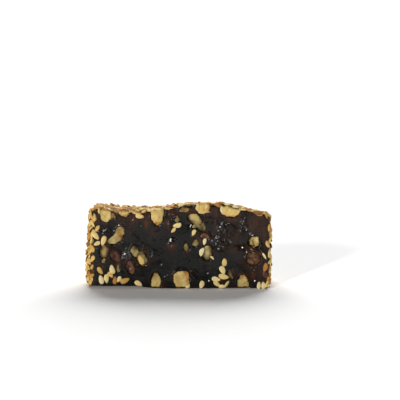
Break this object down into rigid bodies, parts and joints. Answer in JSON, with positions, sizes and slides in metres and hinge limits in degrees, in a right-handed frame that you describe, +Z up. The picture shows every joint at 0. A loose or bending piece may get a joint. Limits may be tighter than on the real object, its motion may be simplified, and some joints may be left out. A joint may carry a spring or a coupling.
{
  "type": "walnut soft candy slice",
  "caption": "Slice of dark soft candy full of chopped walnut, its top and ends coated with sesame, standing on a long side.",
  "frame": {"origin": "on the base, midway between the two cut faces and about midway along the slice", "axes": "+X along the slice, +Y from the front cut face to the back one, +Z up from the base"},
  "size_m": [0.0674, 0.0221, 0.0302],
  "materials": {
    "candy": "sticky gloss, near black with a brown cast",
    "walnut": "cream kernel, satin where candy has smeared it"
  },
  "bodies": {
    "root": {"candy": "candy", "walnut_front_corner": "walnut", "walnut_front_sliver": "walnut", "walnut_front_wedge": "walnut", "walnut_front_nugget": "walnut", "walnut_front_large": "walnut", "walnut_front_crescent": "walnut", "walnut_front_boomerang": "walnut", "walnut_front_dim": "walnut", "walnut_front_ring": "walnut", "walnut_front_skin": "walnut", "walnut_front_foot_left": "walnut", "walnut_front_foot_square": "walnut", "walnut_front_foot_right": "walnut", "walnut_front_crumb": "walnut", "walnut_front_filmed": "walnut", "walnut_front_olive": "walnut", "walnut_back_shoulder": "walnut", "walnut_back_long_curl": "walnut", "walnut_back_top_wide": "walnut", "walnut_back_half_moon": "walnut", "walnut_back_block": "walnut", "walnut_back_centre": "walnut", "walnut_back_foot_wedge": "walnut", "walnut_back_foot_small": "walnut", "walnut_back_chip": "walnut", "walnut_back_edge": "walnut"}
  },
  "joints": []
}
